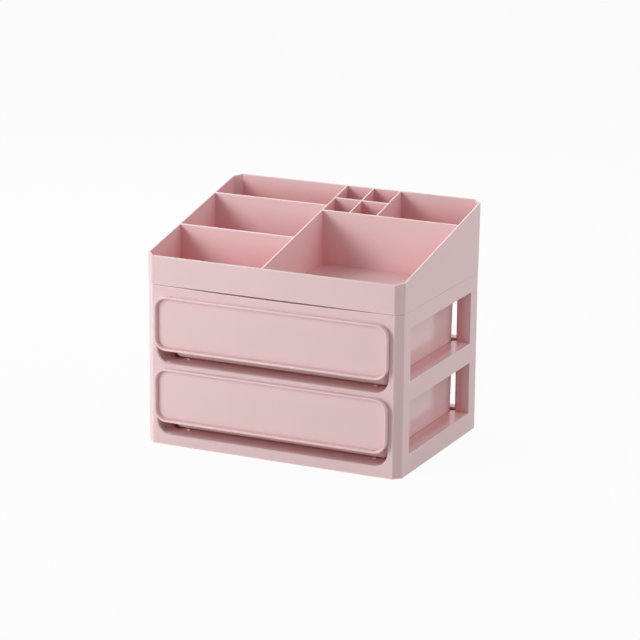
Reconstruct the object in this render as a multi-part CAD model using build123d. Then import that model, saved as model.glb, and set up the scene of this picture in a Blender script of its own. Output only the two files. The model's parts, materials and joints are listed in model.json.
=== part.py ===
from build123d import *
from math import radians, sqrt, tan
import os

# All sizes are in millimetres. +Z is up and the drawers open towards -Y.
# The origin is the middle of the whole box's footprint, on the surface that it stands on.

# Frame
FRAME_WIDTH = 245.0
FRAME_DEPTH = 176.0
CORNER_CHAMFER = 6.7
SKIN = 2.2  # thickness of the outer walls
RETURN = 1.8  # thickness of the walls that turn inwards round openings and windows
EDGE_RADIUS = 0.6  # softened edges of the windows
OPENING_EDGE = 0.9  # bevelled edge of the drawer openings
TOP_EDGE_RADIUS = 0.5  # softened edge along the seam under the tray

# Drawer levels, from the ground up
LEVELS = ("lower", "upper")
LOWER_FLOOR = 9.7  # height of the lower drawer's floor
FRONT_POST = 11.5  # beside the drawer openings
OPENING_HEIGHT = 58.0
OPENING_RADIUS = 12.5
MIDDLE_RAIL = 7.3  # front rail between the two openings
TOP_RAIL = 12.0  # front rail over the upper opening
TOP_RETURN = 12.0  # how far the front and rear walls turn inwards along their top edge

# Windows in the side panels and in the rear frame
POST_WIDTH = 21.0  # corner post, seen from the side
WINDOW_SILL = 8.1  # above the drawer floor
WINDOW_HEAD = 3.0  # below the top of the drawer opening
WINDOW_DEPTH = 12.4  # side panel's outer face to the inner end of its returns
REAR_POST = 17.8  # beside the rear windows
REAR_RETURN = 10.0  # depth of the rear window's returns

# Shelves that carry the drawers
SHELF_FLOOR = 1.8
CURB_WIDTH = 6.0  # guide beside the drawer, under the window's ledge
RUNNER_HEIGHT = 0.7
RUNNER_WIDTH = 3.0
RUNNER_INSET = 12.0  # runner to the drawer's side
SHELF_RIB = 1.5
SHELF_RIB_DEPTH = 3.0
SHELF_RIB_COUNT = 5
SIDE_GAP = 0.2  # between a shelf and the side panels
SHELF_TAB = 6.0  # reach of the tabs that sit inside the side panels
SHELF_TAB_LENGTH = 10.0
SHELF_TAB_HEIGHT = 2.5
SHELF_TAB_COUNT = 3

# Deck under the tray
DECK = 1.6
DECK_SKIRT = 6.0
DECK_SKIRT_WALL = 1.6

# Finger groove behind the frame's front edge, to lift the tray by
GROOVE_INSET = 22.5  # ends of the groove, from the frame's sides
GROOVE_LIP = 1.2  # front wall left before the groove
GROOVE_WIDTH = 7.0
GROOVE_DEPTH = 2.6
LIP_DIP = 1.1  # hollow in the middle of the lip

# Hooks that hold the front and rear walls to the side panels
HOOK_HEIGHT = 10.0
HOOK_THICKNESS = 1.6
HOOK_REACH = 9.0
HOOK_SPACE = 0.4  # hook to the sleeve beside it
HOOK_GAP = 0.2  # hook to its catch
HOOK_COUNT = 3

# Drawer box
FINGER_DEPTH = 18.0  # front wall's set-back from the frame's front
REAR_SPACE = 16.7  # behind the box, to the frame's back
BOX_WALL = 1.8
BOX_DRAFT = 1.2  # degrees
BOX_CORNER = 6.0
BOX_BOTTOM_RADIUS = 4.5
BOX_EDGE = 0.4  # bevelled edges of the box's rim
BOX_TOP_GAP = 5.0  # box rim to the top of the opening
RUN_CLEARANCE = 0.3  # box above its runners
GUIDE_CLEARANCE = 0.7  # box to each window ledge
STOP_LENGTH = 4.0
STOP_INSET = 16.1  # stop lug to the box's back
STOP_OVERLAP = 1.0  # stop lug above the top of the opening

# Drawer front
FINGER_GAP = 12.6  # floor to the front panel's lower edge
PANEL_TOP_OVERLAP = 3.4  # panel over the fascia above the opening
PANEL_SIDE_OVERLAP = 0.8
PANEL_RADIUS = 11.5
PANEL_GAP = 0.4  # panel to the fascia
PANEL_PLATE = 1.4
PANEL_RECESS = 3.7
RIM_WIDTH = 1.8
RIM_DRAFT = 15.0  # degrees, inner side of the rim
RIM_RADIUS = 0.5  # outer edge of the rim
RIM_BEVEL = 0.3  # inner edge of the rim
HOOD_WALL = 1.8
HOOD_INSET = 1.5  # hood to the box's outer side
HOOD_DROP = 6.0  # hood below the box's rim
HOOD_LIFT = 2.0  # cheeks above the panel's lower edge
CLIP_WIDTH = 12.0
CLIP_GAP = 0.15
CLIP_NOSE = 1.2
CLIP_INSET = 38.0  # middle of a clip to the hood's side

# Tray
TRAY_FRONT_HEIGHT = 26.2  # rim above the frame, at the front
TRAY_BACK_HEIGHT = 65.3
TRAY_DRAFT = 0.57  # degrees
TRAY_OVERHANG = 0.3  # tray beyond the frame at the seam
TRAY_WALL = 1.8
TRAY_FLOOR = 2.0
SEAM_GAP = 0.5
SEAT_GAP = 0.3  # tray floor over the deck
LOCATING_GAP = 0.5  # tray skirt round the deck
TRAY_EDGE = 0.35  # bevelled edges of the rim and dividers
BEVEL_ANGLE = 45.0  # degrees
DIVIDER_TOP = 1.4
DIVIDER_FOOT = 2.0
LEFT_BLOCK = 113.2  # frame's left face to the centre wall
LEFT_FRONT_BAY = 64.5  # frame's front to the first divider on the left
LEFT_MIDDLE_BAY = 68.0  # first divider to the second
CELL_SIZE = 25.0  # small square compartments
CELL_COUNT = 2  # along each side of their block

# Places that follow from the sizes
LEVEL_PITCH = OPENING_HEIGHT + MIDDLE_RAIL
FLOORS = [LOWER_FLOOR + LEVEL_PITCH * level for level in range(len(LEVELS))]
FRAME_HEIGHT = FLOORS[-1] + OPENING_HEIGHT + TOP_RAIL
SIDE_X = FRAME_WIDTH / 2
OPENING_WIDTH = FRAME_WIDTH - 2 * FRONT_POST
OPENING_X = OPENING_WIDTH / 2
REAR_WINDOW_WIDTH = FRAME_WIDTH - 2 * REAR_POST
FASCIA_X = SIDE_X - CORNER_CHAMFER
RETURN_X = SIDE_X - WINDOW_DEPTH
GROOVE_X = SIDE_X - GROOVE_INSET
SLEEVE_DEPTH = POST_WIDTH - RETURN
WINDOW_HEIGHT = OPENING_HEIGHT - WINDOW_SILL - WINDOW_HEAD
WINDOW_WIDTH = FRAME_DEPTH - 2 * POST_WIDTH
PANEL_DEPTH = PANEL_PLATE + PANEL_RECESS
TRAY_LEAN = TRAY_OVERHANG + (TRAY_BACK_HEIGHT - SEAM_GAP) * tan(radians(TRAY_DRAFT))
FRONT_Y = -(FRAME_DEPTH + TRAY_LEAN - PANEL_GAP - PANEL_DEPTH) / 2
BACK_Y = FRONT_Y + FRAME_DEPTH
MIDDLE_Y = (FRONT_Y + BACK_Y) / 2
GROOVE_Y = FRONT_Y + GROOVE_LIP
GROOVE_BACK = GROOVE_Y + GROOVE_WIDTH
SLEEVE_Y = FRONT_Y + SLEEVE_DEPTH
CURB_X = OPENING_X - CURB_WIDTH
BOX_LIFT = RUNNER_HEIGHT + RUN_CLEARANCE
BOX_HEIGHT = OPENING_HEIGHT - BOX_LIFT - BOX_TOP_GAP
BOX_FLARE = tan(radians(BOX_DRAFT))
BOX_X = CURB_X - GUIDE_CLEARANCE - (WINDOW_SILL - BOX_LIFT) * BOX_FLARE
BOX_LENGTH = FRAME_DEPTH - FINGER_DEPTH - REAR_SPACE
BOX_FRONT = FRONT_Y + FINGER_DEPTH
BOX_BACK = BOX_FRONT + BOX_LENGTH
STOP_Y = BOX_BACK - STOP_INSET - STOP_LENGTH
DRAWER_TRAVEL = STOP_Y - SLEEVE_Y
HOOD_X = BOX_X - HOOD_INSET
CLIP_X = HOOD_X - CLIP_INSET
DECK_TOP = FRAME_HEIGHT + DECK
TRAY_BOTTOM = FRAME_HEIGHT + SEAM_GAP
TRAY_INSIDE = DECK_TOP + SEAT_GAP + TRAY_FLOOR
TRAY_SLOPE = (TRAY_BACK_HEIGHT - TRAY_FRONT_HEIGHT) / FRAME_DEPTH
TRAY_BLANK = TRAY_BACK_HEIGHT + TRAY_WALL  # height before the rim is cut to its slope
MIRROR_FRONT_BACK = Plane((0, MIDDLE_Y, 0), x_dir=(1, 0, 0), z_dir=(0, 1, 0))


def block(x_span, y_span, z_span):
    """A rectangular rib, tab or plate between two corners."""
    spans = (x_span, y_span, z_span)
    size = [high - low for low, high in spans]
    centre = [(low + high) / 2 for low, high in spans]
    return Pos(*centre) * Box(*size)


def wall_plane(y):
    """A plane that faces the front at depth y; its sketches are drawn in x and z."""
    return Plane((0, y, 0), x_dir=(1, 0, 0), z_dir=(0, -1, 0))


def plan(inset):
    """The chamfered footprint, drawn in by the same amount on all eight sides."""
    corner = CORNER_CHAMFER - inset * (2 - sqrt(2))
    rectangle = Rectangle(FRAME_WIDTH - 2 * inset, FRAME_DEPTH - 2 * inset)
    return Pos(0, MIDDLE_Y) * chamfer(rectangle.vertices(), corner)


def plan_at(z, inset):
    return Plane((0, 0, z)) * plan(inset)


def evenly(start, end, count):
    """Middles of count equal stretches between start and end."""
    step = (end - start) / count
    return [start + step * (index + 0.5) for index in range(count)]


def both_sides(right_hand):
    return right_hand + mirror(right_hand, about=Plane.YZ)


# Hooks


def front_hooks():
    """Hooks on the fascia's back, near both of its upright edges."""
    root = FRONT_Y + SKIN
    tip = root + HOOK_REACH
    inner = OPENING_X + RETURN + HOOK_SPACE
    outer = inner + HOOK_THICKNESS
    right_hand = Part()
    for z in evenly(0, FRAME_HEIGHT, HOOK_COUNT):
        z_span = (z - HOOK_HEIGHT / 2, z + HOOK_HEIGHT / 2)
        arm = block((inner, outer), (root, tip), z_span)
        nose = block((outer, outer + HOOK_THICKNESS), (tip - HOOK_THICKNESS, tip), z_span)
        right_hand += arm + nose
    return both_sides(right_hand)


def front_catches():
    """Ribs in the right-hand panel's front post, which the hooks grip from behind."""
    back = FRONT_Y + SKIN + HOOK_REACH - HOOK_THICKNESS - HOOK_GAP
    inner = OPENING_X + RETURN + HOOK_SPACE + HOOK_THICKNESS + HOOK_GAP
    catches = Part()
    for z in evenly(0, FRAME_HEIGHT, HOOK_COUNT):
        z_span = (z - HOOK_HEIGHT / 2, z + HOOK_HEIGHT / 2)
        catches += block((inner, SIDE_X - SKIN / 2), (back - HOOK_THICKNESS, back), z_span)
    return catches & extrude(plan_at(0, SKIN / 2), amount=FRAME_HEIGHT)


# Frame walls


def drawer_opening(floor, growth):
    """The round-cornered drawer opening, seen from the front, grown on all sides."""
    outline = RectangleRounded(
        OPENING_WIDTH + 2 * growth, OPENING_HEIGHT + 2 * growth, OPENING_RADIUS + growth
    )
    return wall_plane(FRONT_Y) * Pos(0, floor + OPENING_HEIGHT / 2) * outline


def cut_finger_groove(wall):
    """Sinks a groove into the top of the front wall, and hollows the lip in front of it."""
    floor = FRAME_HEIGHT - GROOVE_DEPTH
    end = GROOVE_X + RETURN
    wall += block((-end, end), (FRONT_Y, GROOVE_BACK + RETURN), (floor - RETURN, FRAME_HEIGHT))
    wall -= block((-GROOVE_X, GROOVE_X), (GROOVE_Y, GROOVE_BACK), (floor, FRAME_HEIGHT))
    hollow = ThreePointArc((-GROOVE_X, 0), (0, -LIP_DIP), (GROOVE_X, 0))
    chord = Line((-GROOVE_X, 0), (GROOVE_X, 0))
    dip = wall_plane(FRONT_Y) * Pos(0, FRAME_HEIGHT) * make_face(hollow + chord)
    return wall - extrude(dip, amount=-GROOVE_LIP)


def make_front_frame():
    wall = block((-FASCIA_X, FASCIA_X), (FRONT_Y, FRONT_Y + SKIN), (0, FRAME_HEIGHT))
    for floor in FLOORS:
        wall += extrude(drawer_opening(floor, RETURN), amount=-SLEEVE_DEPTH)
    for floor in FLOORS:
        wall -= extrude(drawer_opening(floor, 0), amount=-SLEEVE_DEPTH)
    wall += block(
        (-RETURN_X, RETURN_X), (FRONT_Y, FRONT_Y + TOP_RETURN), (FRAME_HEIGHT - RETURN, FRAME_HEIGHT)
    )
    wall = cut_finger_groove(wall)
    wall += front_hooks()
    face = wall.faces().sort_by(Axis.Y)[0]
    rims = [edge for wire in face.inner_wires() for edge in wire.edges()]
    wall = chamfer(rims, OPENING_EDGE)
    face = wall.faces().sort_by(Axis.Y)[0]
    top = [edge for edge in face.outer_wire().edges() if edge.center().Z > FRAME_HEIGHT - TOP_RAIL]
    return fillet(top, TOP_EDGE_RADIUS)


def rear_window(floor, growth):
    outline = Rectangle(REAR_WINDOW_WIDTH + 2 * growth, WINDOW_HEIGHT + 2 * growth)
    return wall_plane(BACK_Y) * Pos(0, floor + WINDOW_SILL + WINDOW_HEIGHT / 2) * outline


def make_rear_frame():
    wall = block((-FASCIA_X, FASCIA_X), (BACK_Y - SKIN, BACK_Y), (0, FRAME_HEIGHT))
    for floor in FLOORS:
        wall += extrude(rear_window(floor, RETURN), amount=REAR_RETURN)
    for floor in FLOORS:
        wall -= extrude(rear_window(floor, 0), amount=REAR_RETURN)
    wall += block(
        (-RETURN_X, RETURN_X), (BACK_Y - TOP_RETURN, BACK_Y), (FRAME_HEIGHT - RETURN, FRAME_HEIGHT)
    )
    wall += mirror(front_hooks(), about=MIRROR_FRONT_BACK)
    face = wall.faces().sort_by(Axis.Y)[-1]
    rims = [edge for wire in face.inner_wires() for edge in wire.edges()]
    wall = fillet(rims, EDGE_RADIUS)
    top = wall.edges().filter_by(Axis.X).group_by(Axis.Y)[-1].sort_by(Axis.Z)[-1]
    return fillet(top, TOP_EDGE_RADIUS)


def side_window(floor, growth):
    outline = Rectangle(WINDOW_WIDTH + 2 * growth, WINDOW_HEIGHT + 2 * growth)
    centre = Pos(MIDDLE_Y, floor + WINDOW_SILL + WINDOW_HEIGHT / 2)
    return Plane.YZ.offset(RETURN_X) * centre * outline


def side_ledge(floor):
    """The wide sill of a right-hand window, which reaches in to the drawer and guides it."""
    sill = floor + WINDOW_SILL
    return block((CURB_X, RETURN_X), (SLEEVE_Y, BACK_Y - SLEEVE_DEPTH), (sill - RETURN, sill))


def make_right_side_panel():
    """Skin with both corner chamfers, and the deep returns round its windows, top and bottom."""
    skin_strip = Pos(SIDE_X - CORNER_CHAMFER / 2, MIDDLE_Y) * Rectangle(CORNER_CHAMFER, FRAME_DEPTH)
    panel = extrude((plan(0) - plan(SKIN)) & skin_strip, amount=FRAME_HEIGHT)
    return_strip = Pos(SIDE_X - WINDOW_DEPTH / 2, MIDDLE_Y) * Rectangle(WINDOW_DEPTH, FRAME_DEPTH)
    for z in (0, FRAME_HEIGHT - RETURN):
        panel += extrude(Plane((0, 0, z)) * (plan(SKIN) & return_strip), amount=RETURN)
    for floor in FLOORS:
        panel += extrude(side_window(floor, RETURN), amount=WINDOW_DEPTH)
        panel += side_ledge(floor)
    for floor in FLOORS:
        panel -= extrude(side_window(floor, 0), amount=WINDOW_DEPTH)
    catches = front_catches()
    panel += catches + mirror(catches, about=MIRROR_FRONT_BACK)
    face = panel.faces().sort_by(Axis.X)[-1]
    rims = [edge for wire in face.inner_wires() for edge in wire.edges()]
    panel = fillet(rims, EDGE_RADIUS)
    seam_x = FASCIA_X + TOP_EDGE_RADIUS
    top = [edge for edge in panel.edges().group_by(Axis.Z)[-1] if edge.center().X > seam_x]
    return fillet(top, TOP_EDGE_RADIUS)


# Shelves and deck


def make_shelf(floor, underside, tab_seat, rib_depth):
    """Drawer floor with a guide curb on each side, runner strips, and ribs underneath."""
    half = RETURN_X - SIDE_GAP
    curb_top = floor + WINDOW_SILL - RETURN - SIDE_GAP
    front = SLEEVE_Y
    curb_end = BACK_Y - REAR_RETURN - SIDE_GAP
    plate = block((-half, half), (front, BACK_Y - SKIN), (floor - SHELF_FLOOR, floor))
    curb = block((CURB_X, half), (front, curb_end), (underside, curb_top))
    curb -= block(
        (CURB_X + RETURN, half - RETURN), (front + RETURN, curb_end), (underside, curb_top - RETURN)
    )
    curb -= block((CURB_X, half - RETURN), (front, curb_end), (underside, floor - SHELF_FLOOR))
    runner_x = BOX_X - RUNNER_INSET
    runner_z = (floor, floor + RUNNER_HEIGHT)
    curb += block((runner_x - RUNNER_WIDTH, runner_x), (front, curb_end), runner_z)
    for y in evenly(FRONT_Y + POST_WIDTH, BACK_Y - POST_WIDTH, SHELF_TAB_COUNT):
        tab_y = (y - SHELF_TAB_LENGTH / 2, y + SHELF_TAB_LENGTH / 2)
        curb += block((half - RETURN, half + SHELF_TAB), tab_y, (tab_seat, tab_seat + SHELF_TAB_HEIGHT))
    shelf = plate + curb + mirror(curb, about=Plane.YZ)
    for y in evenly(front, BACK_Y - SKIN, SHELF_RIB_COUNT):
        rib_y = (y - SHELF_RIB / 2, y + SHELF_RIB / 2)
        shelf += block((-half, half), rib_y, (floor - SHELF_FLOOR - rib_depth, floor))
    return shelf


def make_base_panel():
    return make_shelf(FLOORS[0], 0, RETURN, FLOORS[0] - SHELF_FLOOR)


def make_middle_shelf():
    head = FLOORS[0] + OPENING_HEIGHT - WINDOW_HEAD + RETURN
    return make_shelf(FLOORS[1], head, head, SHELF_RIB_DEPTH)


def make_top_panel():
    """Deck that lies on the frame's top returns, with a skirt that drops between them."""
    deck = extrude(plan_at(FRAME_HEIGHT, TRAY_WALL - TRAY_OVERHANG + LOCATING_GAP), amount=DECK)
    deck -= block((-GROOVE_X, GROOVE_X), (FRONT_Y, GROOVE_BACK), (FRAME_HEIGHT, DECK_TOP))
    skirt_width = 2 * (RETURN_X - SIDE_GAP)
    skirt_depth = FRAME_DEPTH - 2 * TOP_RETURN - 2 * SIDE_GAP
    skirt = Rectangle(skirt_width, skirt_depth)
    skirt -= Rectangle(skirt_width - 2 * DECK_SKIRT_WALL, skirt_depth - 2 * DECK_SKIRT_WALL)
    return deck + extrude(Plane((0, MIDDLE_Y, FRAME_HEIGHT)) * skirt, amount=-DECK_SKIRT)


# Drawers


def tub(bottom, inset, height):
    """A drafted block with rounded corners and rounded bottom edges, inset from the drawer box's outside."""
    outline = RectangleRounded(2 * (BOX_X - inset), BOX_LENGTH - 2 * inset, BOX_CORNER - inset)
    placed = Plane((0, (BOX_FRONT + BOX_BACK) / 2, bottom)) * outline
    body = extrude(placed, amount=height, taper=-BOX_DRAFT)
    return fillet(body.edges().group_by(Axis.Z)[0], BOX_BOTTOM_RADIUS - inset)


def hood_top(floor):
    return floor + BOX_LIFT + BOX_HEIGHT - HOOD_DROP


def clip_spans(half_width):
    """Left and right edge of the two clips, which carry the hood's top through the box's front wall."""
    return [(middle - half_width, middle + half_width) for middle in (-CLIP_X, CLIP_X)]


def make_drawer_box(floor):
    bottom = floor + BOX_LIFT
    top = bottom + BOX_HEIGHT
    box = tub(bottom, 0, BOX_HEIGHT) - tub(bottom + BOX_WALL, BOX_WALL, BOX_HEIGHT)
    box = chamfer(box.faces().sort_by(Axis.Z)[-1].edges(), BOX_EDGE)
    outer_x = BOX_X + BOX_HEIGHT * BOX_FLARE
    stop_z = (top - BOX_WALL, floor + OPENING_HEIGHT + STOP_OVERLAP)
    stop = block((outer_x - BOX_WALL, outer_x), (STOP_Y, STOP_Y + STOP_LENGTH), stop_z)
    box += both_sides(stop)
    slot_z = (hood_top(floor) - HOOD_WALL - CLIP_GAP, hood_top(floor) + CLIP_NOSE + CLIP_GAP)
    for x_span in clip_spans(CLIP_WIDTH / 2 + CLIP_GAP):
        box -= block(x_span, (BOX_FRONT - BOX_CORNER, BOX_FRONT + BOX_CORNER), slot_z)
    return box


def panel_outline(floor, inset):
    width = OPENING_WIDTH + 2 * PANEL_SIDE_OVERLAP
    height = OPENING_HEIGHT - FINGER_GAP + PANEL_TOP_OVERLAP
    middle = floor + FINGER_GAP + height / 2
    outline = RectangleRounded(width - 2 * inset, height - 2 * inset, PANEL_RADIUS - inset)
    return Pos(0, middle) * outline


def make_drawer_front(floor):
    """Front panel with a thin raised rim; behind it an open-bottomed hood reaches back to the drawer box."""
    back = FRONT_Y - PANEL_GAP
    field = back - PANEL_PLATE
    panel = extrude(wall_plane(back) * panel_outline(floor, 0), amount=PANEL_DEPTH)
    draw_in = RIM_WIDTH + PANEL_RECESS * tan(radians(RIM_DRAFT))
    panel -= extrude(wall_plane(field) * panel_outline(floor, draw_in), amount=PANEL_RECESS, taper=-RIM_DRAFT)
    rim = panel.faces().sort_by(Axis.Y)[0]
    panel = fillet(rim.outer_wire().edges(), RIM_RADIUS)
    rim = panel.faces().sort_by(Axis.Y)[0]
    panel = chamfer(rim.inner_wires()[0].edges(), RIM_BEVEL)

    bottom = floor + BOX_LIFT
    top = hood_top(floor)
    underside = top - HOOD_WALL
    cheek_bottom = floor + FINGER_GAP + HOOD_LIFT
    reach = (back, BOX_FRONT + BOX_CORNER)
    hood = block((-HOOD_X, HOOD_X), reach, (cheek_bottom, top))
    hood -= block((-HOOD_X + HOOD_WALL, HOOD_X - HOOD_WALL), reach, (cheek_bottom, underside))
    hood -= tub(bottom, 0, BOX_HEIGHT)
    nose_bottom = underside - CLIP_NOSE
    wall_back = BOX_FRONT + BOX_WALL - (nose_bottom - bottom - BOX_WALL) * BOX_FLARE
    nose_front = wall_back + CLIP_GAP
    nose_back = nose_front + CLIP_NOSE
    for x_span in clip_spans(CLIP_WIDTH / 2):
        hood += block(x_span, (FRONT_Y, nose_back), (underside, top))
        hood += block(x_span, (nose_front, nose_back), (nose_bottom, top))
    return panel + hood


# Tray


def divider_along_x(y, x_span):
    """A drafted divider that runs from left to right."""
    return extrude(Plane.YZ.offset(x_span[0]) * Pos(y) * divider_profile(), amount=x_span[1] - x_span[0])


def divider_along_y(x, y_span):
    """A drafted divider that runs from front to back."""
    return extrude(wall_plane(y_span[0]) * Pos(x) * divider_profile(), amount=y_span[0] - y_span[1])


def divider_profile():
    top = TRAY_BOTTOM + TRAY_BLANK
    foot = TRAY_INSIDE - TRAY_FLOOR / 2
    points = (
        (-DIVIDER_FOOT / 2, foot),
        (DIVIDER_FOOT / 2, foot),
        (DIVIDER_TOP / 2, top),
        (-DIVIDER_TOP / 2, top),
    )
    return make_face(Polyline(*points, close=True))


def tray_dividers():
    reach = TRAY_WALL / 2 - TRAY_OVERHANG
    left = -SIDE_X + reach
    right = SIDE_X - reach
    front = FRONT_Y + reach
    back = BACK_Y - reach
    centre = -SIDE_X + LEFT_BLOCK
    cell_pitch = CELL_SIZE + DIVIDER_TOP
    cell_back = BACK_Y + TRAY_OVERHANG - TRAY_WALL + DIVIDER_TOP / 2
    cell_front = cell_back - CELL_COUNT * cell_pitch
    cells_right = centre + CELL_COUNT * cell_pitch
    dividers = divider_along_y(centre, (front, back))
    for y in (FRONT_Y + LEFT_FRONT_BAY, FRONT_Y + LEFT_FRONT_BAY + LEFT_MIDDLE_BAY):
        dividers += divider_along_x(y, (left, centre))
    dividers += divider_along_x(cell_front, (centre, right))
    for index in range(1, CELL_COUNT):
        dividers += divider_along_x(cell_front + index * cell_pitch, (centre, cells_right))
    for index in range(1, CELL_COUNT + 1):
        dividers += divider_along_y(centre + index * cell_pitch, (cell_front, back))
    return dividers


def above_rim():
    """Everything over the sloping plane of the tray's rim."""
    margin = FRAME_DEPTH
    low = (FRONT_Y - margin, FRAME_HEIGHT + TRAY_FRONT_HEIGHT - margin * TRAY_SLOPE)
    high = (BACK_Y + margin, FRAME_HEIGHT + TRAY_BACK_HEIGHT + margin * TRAY_SLOPE)
    corner = (low[0], high[1] + margin)
    side = make_face(Polyline(low, high, (high[0], corner[1]), corner, close=True))
    return extrude(Plane.YZ * side, amount=FRAME_WIDTH, both=True)


def bevel_rim(tray):
    """Bevels the rim's outer edges and the mouth of each compartment, in the rim's sloping plane."""
    rim = tray.faces().sort_by(Axis.Z)[-1]
    rim_plane = Plane(rim)
    tray = chamfer(rim.outer_wire().edges(), TRAY_EDGE)
    for wire in rim.inner_wires():
        corners = [rim_plane.to_local_coords(vertex.center()) for vertex in wire.vertices()]
        mouth = offset(make_face(Polyline(*corners, close=True)), TRAY_EDGE, kind=Kind.INTERSECTION)
        tray -= rim_plane * extrude(mouth, amount=-2 * TRAY_EDGE, taper=BEVEL_ANGLE)
    return tray


def make_tray():
    inside = TRAY_WALL - TRAY_OVERHANG
    tray = extrude(plan_at(TRAY_BOTTOM, -TRAY_OVERHANG), amount=TRAY_BLANK, taper=-TRAY_DRAFT)
    tray -= extrude(plan_at(TRAY_INSIDE, inside), amount=TRAY_BLANK, taper=-TRAY_DRAFT)
    tray -= extrude(plan_at(TRAY_BOTTOM, inside), amount=TRAY_INSIDE - TRAY_FLOOR - TRAY_BOTTOM)
    tray += tray_dividers()
    tray -= above_rim()
    return bevel_rim(tray)


right_side_panel = make_right_side_panel()

pieces = {
    "top_tray": make_tray(),
    "front_frame": make_front_frame(),
    "rear_frame": make_rear_frame(),
    "right_side_panel": right_side_panel,
    "left_side_panel": mirror(right_side_panel, about=Plane.YZ),
    "base_panel": make_base_panel(),
    "middle_shelf": make_middle_shelf(),
    "top_panel": make_top_panel(),
}
for level, floor in zip(LEVELS, FLOORS):
    pieces[level + "_drawer_box"] = make_drawer_box(floor)
    pieces[level + "_drawer_front"] = make_drawer_front(floor)

os.makedirs("parts", exist_ok=True)
for name, piece in pieces.items():
    export_step(piece, "parts/" + name + ".step")
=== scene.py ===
import json
from math import pi, radians

import bpy
from mathutils import Matrix, Vector


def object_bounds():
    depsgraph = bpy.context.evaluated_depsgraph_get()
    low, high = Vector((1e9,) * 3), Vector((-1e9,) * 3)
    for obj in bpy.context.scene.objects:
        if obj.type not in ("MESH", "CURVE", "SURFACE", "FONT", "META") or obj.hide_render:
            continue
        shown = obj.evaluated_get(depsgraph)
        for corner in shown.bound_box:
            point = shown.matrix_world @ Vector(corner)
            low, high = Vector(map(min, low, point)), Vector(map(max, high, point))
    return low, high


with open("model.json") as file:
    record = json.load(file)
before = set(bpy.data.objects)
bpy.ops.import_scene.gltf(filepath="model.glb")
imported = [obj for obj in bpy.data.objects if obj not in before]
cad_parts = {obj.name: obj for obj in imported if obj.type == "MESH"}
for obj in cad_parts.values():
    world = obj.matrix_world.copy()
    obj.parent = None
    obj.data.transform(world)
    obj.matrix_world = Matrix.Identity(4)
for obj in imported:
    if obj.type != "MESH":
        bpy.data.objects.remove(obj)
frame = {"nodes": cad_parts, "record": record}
cad_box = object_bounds()
centre = (cad_box[0] + cad_box[1]) / 2

# Lengths are in metres, angles in degrees and colours in linear RGB.

# Camera, at the photograph's viewing angle
CAMERA_AZIMUTH = 25.14
CAMERA_ELEVATION = 15.18
CAMERA_ROLL = 0.52
CAMERA_DISTANCE = 2.5105
CAMERA_TARGET = Vector((0.0039, 0.0056, 0.1054))
CAMERA_LENS = 158.74  # millimetres, as is the sensor's width
SENSOR_WIDTH = 36.0

# Studio
FLOOR_SIZE = 8.0
FLOOR_COLOUR = (0.76, 0.76, 0.76, 1)
FLOOR_GLOW = 0.95  # share of the floor that shows as plain white, so that its shadow stays faint
WHITE_GLOW = 1.0  # strength at which a surface that glows shows as white
AMBIENT = 0.195  # strength of the light from all around
WHITE = (1.0, 1.0, 1.0)
WARM = (1.0, 0.90, 0.905)
# name, azimuth, elevation, distance, size, brightness of a white sheet that faces the lamp, colour
SOFTBOXES = (
    ("key", -42.0, 22.0, 4.00, 1.70, 0.39, WHITE),
    ("low_front", -30.0, 9.0, 1.20, 0.40, 0.18, WHITE),
    ("left", -110.0, 36.0, 1.20, 1.00, 0.25, WHITE),
    ("right", 98.0, 32.0, 1.20, 1.00, 0.32, WARM),
    ("back", -150.0, 37.0, 1.20, 0.60, 0.18, WHITE),
)

# Pink moulded plastic
PINK = (0.91, 0.665, 0.675, 1)
TONE_SHIFT = 0.018  # share by which the pink drifts up and down
SPECULAR_LEVEL = 0.55
GRAIN_DEPTH = 0.00003

# Patterns of the plastic: patches per metre, and octaves of finer detail in them
TONE_PATCHES = (14.0, 3.0)
SHEEN_PATCHES = (90.0, 4.0)
MOULD_GRAIN = (2200.0, 2.0)

# Painted shade: the frame's pink turns deeper and darker from its skin inwards, standing in for the
# shade inside the frame.
PAINTED_SHADE_PINK = (0.82, 0.43, 0.44, 1)
SKIN_DEPTH = 0.0036  # where the painted shade begins
INNER_DEPTH = 0.0095  # where it is full
SIDES = ("left_side_panel", "right_side_panel")  # the nodes that reach the frame's outermost faces

# Painted shade in a solid's own recesses and corners, and a painted highlight along its thin edges:
# reach, the open shares of the directions within reach at which the painting begins and is full, and
# the painted colour
PAINTED_COMPARTMENT_SHADE = (0.07, 0.66, 0.22, (0.90, 0.46, 0.47, 1))
PAINTED_CORNER_SHADE = (0.008, 0.88, 0.50, (0.84, 0.50, 0.51, 1))
PAINTED_EDGE_HIGHLIGHT = (0.001, 1.00, 0.60, (0.97, 0.80, 0.81, 1))
ZONE_SAMPLES = 8

# By the record's material slots: roughness of the glossiest and of the dullest patches, strength
# of the grain, the painted shade in its recesses, and whether painted shade deepens the pink inside
# the frame
FINISHES = {
    "tray_plastic": (0.20, 0.26, 0.20, PAINTED_COMPARTMENT_SHADE, False),
    "frame_plastic": (0.20, 0.26, 0.20, PAINTED_CORNER_SHADE, True),
    "drawer_plastic": (0.12, 0.16, 0.06, PAINTED_CORNER_SHADE, False),
}

# Shading of the solids' edges
WELD_DISTANCE = 0.00001
SHARP_ANGLE = 40.0


# Nodes of a material


def feed(tree, socket, value):
    """Sets a node's input to a value or to another node's output."""
    if isinstance(value, bpy.types.NodeSocket):
        tree.links.new(value, socket)
    else:
        socket.default_value = value


def add_node(tree, kind, **inputs):
    """Adds a shader node and feeds its inputs by name."""
    node = tree.nodes.new(kind)
    for name, value in inputs.items():
        feed(tree, node.inputs[name.replace("_", " ")], value)
    return node


def calculate(tree, kind, operation, *values):
    """Adds a node for a sum and gives its result."""
    node = tree.nodes.new(kind)
    node.operation = operation
    for socket, value in zip(node.inputs, values):
        feed(tree, socket, value)
    return node.outputs[0]


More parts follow.
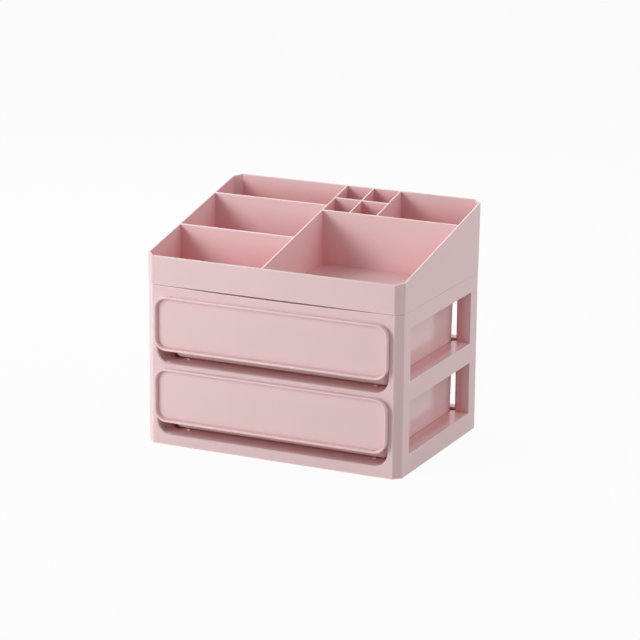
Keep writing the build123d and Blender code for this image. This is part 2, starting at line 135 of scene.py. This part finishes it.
def empty_material(name):
    material = bpy.data.materials.new(name)
    material.use_nodes = True
    material.node_tree.nodes.clear()
    return material


def position(tree):
    return add_node(tree, "ShaderNodeTexCoord").outputs["Object"]


def noise(tree, scale, detail):
    pattern = add_node(tree, "ShaderNodeTexNoise", Vector=position(tree), Scale=scale, Detail=detail)
    return pattern.outputs["Fac"]


def tint(tree, colour, share, other):
    return add_node(tree, "ShaderNodeMixRGB", Fac=share, Color1=colour, Color2=other).outputs["Color"]


# Moulded plastic


def paint_shade_inside_frame(tree, colour):
    """Paints shade: shifts a colour to a deeper pink behind the skin of the box that the frame's
    outer walls fill.
    """
    corners = [Vector(corner) for side in SIDES for corner in frame["nodes"][side].bound_box]
    low = Vector(map(min, zip(*corners)))
    high = Vector(map(max, zip(*corners)))
    offset = calculate(tree, "ShaderNodeVectorMath", "SUBTRACT", position(tree), (low + high) / 2)
    offset = calculate(tree, "ShaderNodeVectorMath", "ABSOLUTE", offset)
    past_walls = calculate(tree, "ShaderNodeVectorMath", "SUBTRACT", offset, (high - low) / 2)
    x, y, z = add_node(tree, "ShaderNodeSeparateXYZ", Vector=past_walls).outputs
    past_skin = calculate(tree, "ShaderNodeMath", "MAXIMUM", x, y)
    past_skin = calculate(tree, "ShaderNodeMath", "MAXIMUM", past_skin, z)
    share = add_node(
        tree, "ShaderNodeMapRange", Value=past_skin, From_Min=-SKIN_DEPTH, From_Max=-INNER_DEPTH
    )
    return tint(tree, colour, share.outputs["Result"], PAINTED_SHADE_PINK)


def paint_shade_or_highlight(tree, colour, zone, inside=False):
    """Paints shade into a colour in a solid's own recesses or, looking inside the solid, a highlight
    along its thin edges.
    """
    reach, begins, full, other = zone
    openness = add_node(tree, "ShaderNodeAmbientOcclusion", Distance=reach)
    openness.samples = ZONE_SAMPLES
    openness.inside = inside
    openness.only_local = True
    share = add_node(
        tree, "ShaderNodeMapRange", Value=openness.outputs["AO"], From_Min=begins, From_Max=full
    )
    return tint(tree, colour, share.outputs["Result"], other)


def shaded(colour, factor):
    return (*[channel * factor for channel in colour[:3]], 1)


def moulded_plastic(name, glossiest, dullest, grain_strength, painted_hollow_shade, painted_shade_inside):
    """Satin moulded plastic: faint drifts of tone and gloss, a fine mould grain, painted shade in
    recesses and inside the frame, and a painted highlight along edges.
    """
    material = empty_material(name)
    tree = material.node_tree
    tone = add_node(tree, "ShaderNodeValToRGB", Fac=noise(tree, *TONE_PATCHES))
    dark, light = tone.color_ramp.elements
    dark.color = shaded(PINK, 1 - TONE_SHIFT)
    light.color = shaded(PINK, 1 + TONE_SHIFT)
    # Painted shade in the recesses, then a painted highlight along the thin edges
    colour = paint_shade_or_highlight(tree, tone.outputs["Color"], painted_hollow_shade)
    colour = paint_shade_or_highlight(tree, colour, PAINTED_EDGE_HIGHLIGHT, inside=True)
    # Painted shade: a deeper pink inside the frame
    if painted_shade_inside:
        colour = paint_shade_inside_frame(tree, colour)
    patches = noise(tree, *SHEEN_PATCHES)
    gloss = add_node(tree, "ShaderNodeMapRange", Value=patches, To_Min=glossiest, To_Max=dullest)
    grain = add_node(
        tree,
        "ShaderNodeBump",
        Height=noise(tree, *MOULD_GRAIN),
        Strength=grain_strength,
        Distance=GRAIN_DEPTH,
    )
    shader = add_node(
        tree,
        "ShaderNodeBsdfPrincipled",
        Base_Color=colour,
        Roughness=gloss.outputs["Result"],
        Normal=grain.outputs["Normal"],
        Specular_IOR_Level=SPECULAR_LEVEL,
    )
    add_node(tree, "ShaderNodeOutputMaterial", Surface=shader.outputs["BSDF"])
    return material


# The box's own pieces


def finish_node(node, material):
    """Gives a solid its material, and lets its narrow bevels and radii shade as rounded edges."""
    mesh = node.data
    mesh.materials.clear()
    mesh.materials.append(material)
    mesh.polygons.foreach_set("use_smooth", [True] * len(mesh.polygons))
    weld = node.modifiers.new("weld", "WELD")
    weld.merge_threshold = WELD_DISTANCE
    split = node.modifiers.new("split", "EDGE_SPLIT")
    split.split_angle = radians(SHARP_ANGLE)
    normals = node.modifiers.new("normals", "WEIGHTED_NORMAL")
    normals.keep_sharp = True


def finish_box():
    plastics = {slot: moulded_plastic(slot, *finish) for slot, finish in FINISHES.items()}
    slots = {part["node"]: part["material_slot"] for part in frame["record"]["subparts"]}
    for name, node in frame["nodes"].items():
        finish_node(node, plastics[slots[name]])


# Studio


def seen_directly(tree):
    """1 for the rays by which the camera sees a surface, straight or mirrored, and 0 for the rest."""
    rays = add_node(tree, "ShaderNodeLightPath").outputs
    seen = rays["Is Camera Ray"]
    for kind in ("Is Glossy Ray", "Is Transmission Ray"):
        seen = calculate(tree, "ShaderNodeMath", "ADD", seen, rays[kind])
    return calculate(tree, "ShaderNodeMath", "MINIMUM", seen, 1.0)


def floor_material():
    material = empty_material("pale_floor")
    tree = material.node_tree
    diffuse = add_node(tree, "ShaderNodeBsdfDiffuse", Color=FLOOR_COLOUR)
    glow = add_node(tree, "ShaderNodeEmission", Strength=WHITE_GLOW)
    share = add_node(tree, "ShaderNodeMapRange", Value=seen_directly(tree), To_Max=FLOOR_GLOW)
    mix = add_node(tree, "ShaderNodeMixShader", Fac=share.outputs["Result"])
    tree.links.new(diffuse.outputs["BSDF"], mix.inputs[1])
    tree.links.new(glow.outputs["Emission"], mix.inputs[2])
    add_node(tree, "ShaderNodeOutputMaterial", Surface=mix.outputs["Shader"])
    return material


def make_floor():
    half = FLOOR_SIZE / 2
    corners = [(-half, -half, 0), (half, -half, 0), (half, half, 0), (-half, half, 0)]
    mesh = bpy.data.meshes.new("floor")
    mesh.from_pydata(corners, [], [(0, 1, 2, 3)])
    mesh.materials.append(floor_material())
    floor = bpy.data.objects.new("floor", mesh)
    bpy.context.scene.collection.objects.link(floor)


def looking_from(azimuth, elevation, roll=0.0):
    """The turn of a camera or lamp that looks at the object from that side."""
    turn = Matrix.Rotation(radians(azimuth), 4, "Z")
    tilt = Matrix.Rotation(radians(90 - elevation), 4, "X")
    return turn @ tilt @ Matrix.Rotation(radians(roll), 4, "Z")


def place(name, data, target, turn, distance):
    """Stands a camera or lamp off its target by a distance, looking back at it."""
    holder = bpy.data.objects.new(name, data)
    holder.matrix_world = Matrix.Translation(target) @ turn @ Matrix.Translation((0, 0, distance))
    bpy.context.scene.collection.objects.link(holder)
    return holder


def make_softboxes():
    for name, azimuth, elevation, distance, size, brightness, colour in SOFTBOXES:
        lamp = bpy.data.lights.new(name, "AREA")
        lamp.size = size
        lamp.color = colour
        lamp.energy = brightness * (pi * distance) ** 2
        place(name, lamp, centre, looking_from(azimuth, elevation), distance)


def make_surroundings():
    world = bpy.data.worlds.new("surroundings")
    world.use_nodes = True
    tree = world.node_tree
    tree.nodes.clear()
    level = add_node(
        tree, "ShaderNodeMapRange", Value=seen_directly(tree), To_Min=AMBIENT, To_Max=WHITE_GLOW
    )
    white = add_node(
        tree, "ShaderNodeBackground", Color=(*WHITE, 1), Strength=level.outputs["Result"]
    )
    add_node(tree, "ShaderNodeOutputWorld", Surface=white.outputs["Background"])
    bpy.context.scene.world = world


def make_camera():
    lens = bpy.data.cameras.new("camera")
    lens.sensor_width = SENSOR_WIDTH
    lens.lens = CAMERA_LENS
    turn = looking_from(CAMERA_AZIMUTH, CAMERA_ELEVATION, CAMERA_ROLL)
    bpy.context.scene.camera = place("camera", lens, CAMERA_TARGET, turn, CAMERA_DISTANCE)


finish_box()
make_floor()
make_softboxes()
make_surroundings()
make_camera()
bpy.context.scene.view_settings.view_transform = "Standard"
